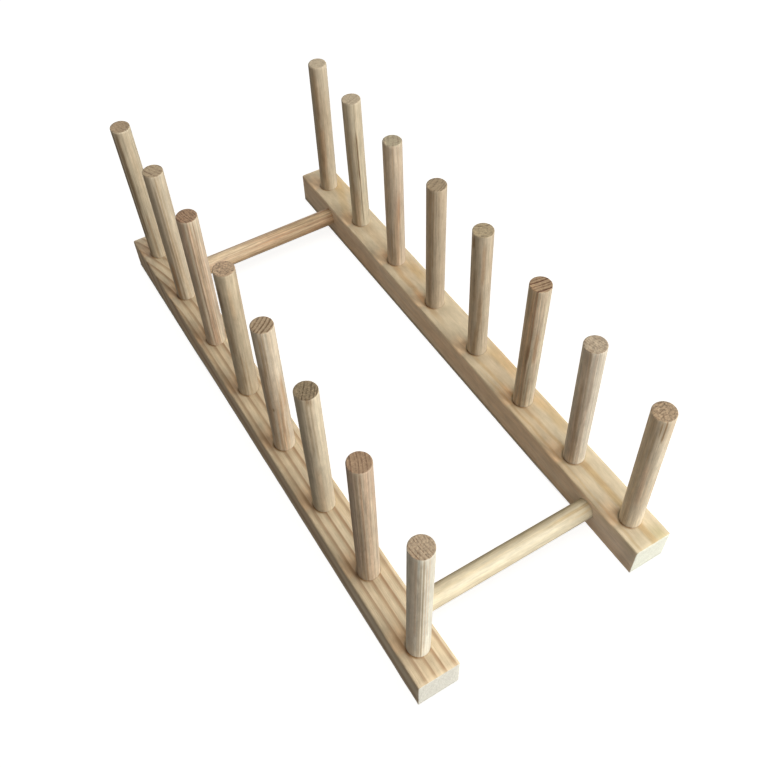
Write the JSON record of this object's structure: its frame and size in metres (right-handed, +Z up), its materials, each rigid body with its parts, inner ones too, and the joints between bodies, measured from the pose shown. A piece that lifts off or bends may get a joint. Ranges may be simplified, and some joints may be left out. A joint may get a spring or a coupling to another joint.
{
  "type": "pegged plate rack",
  "caption": "Small pine rack with a row of upright pegs in each of two rails, joined by two round stretchers, for plates or lids stood on edge.",
  "frame": {"origin": "on the table, under the centre of the rack's bounding box", "axes": "+Z up, +Y along the rails towards the rear end, +X from the left rail to the right rail"},
  "size_m": [0.1324, 0.313, 0.1001],
  "materials": {
    "left_rail_pine": "bare planed pine, matt, light tan with brown growth lines along the length",
    "right_rail_pine": "bare planed pine, matt, pale with broad orange-tan patches",
    "peg_pine": "bare sanded pine dowel, matt, tan to pinkish streaks along the length, darker end grain",
    "rear_stretcher_pine": "bare sanded pine dowel, matt, orange-tan with pinkish streaks",
    "front_stretcher_pine": "bare sanded pine dowel, matt, very pale cream"
  },
  "bodies": {
    "root": {"left_rail": "left_rail_pine", "right_rail": "right_rail_pine", "rear_stretcher": "rear_stretcher_pine", "front_stretcher": "front_stretcher_pine", "left_peg_1": "peg_pine", "left_peg_2": "peg_pine", "left_peg_3": "peg_pine", "left_peg_4": "peg_pine", "left_peg_5": "peg_pine", "left_peg_6": "peg_pine", "left_peg_7": "peg_pine", "left_peg_8": "peg_pine", "right_peg_1": "peg_pine", "right_peg_2": "peg_pine", "right_peg_3": "peg_pine", "right_peg_4": "peg_pine", "right_peg_5": "peg_pine", "right_peg_6": "peg_pine", "right_peg_7": "peg_pine", "right_peg_8": "peg_pine"}
  },
  "joints": []
}
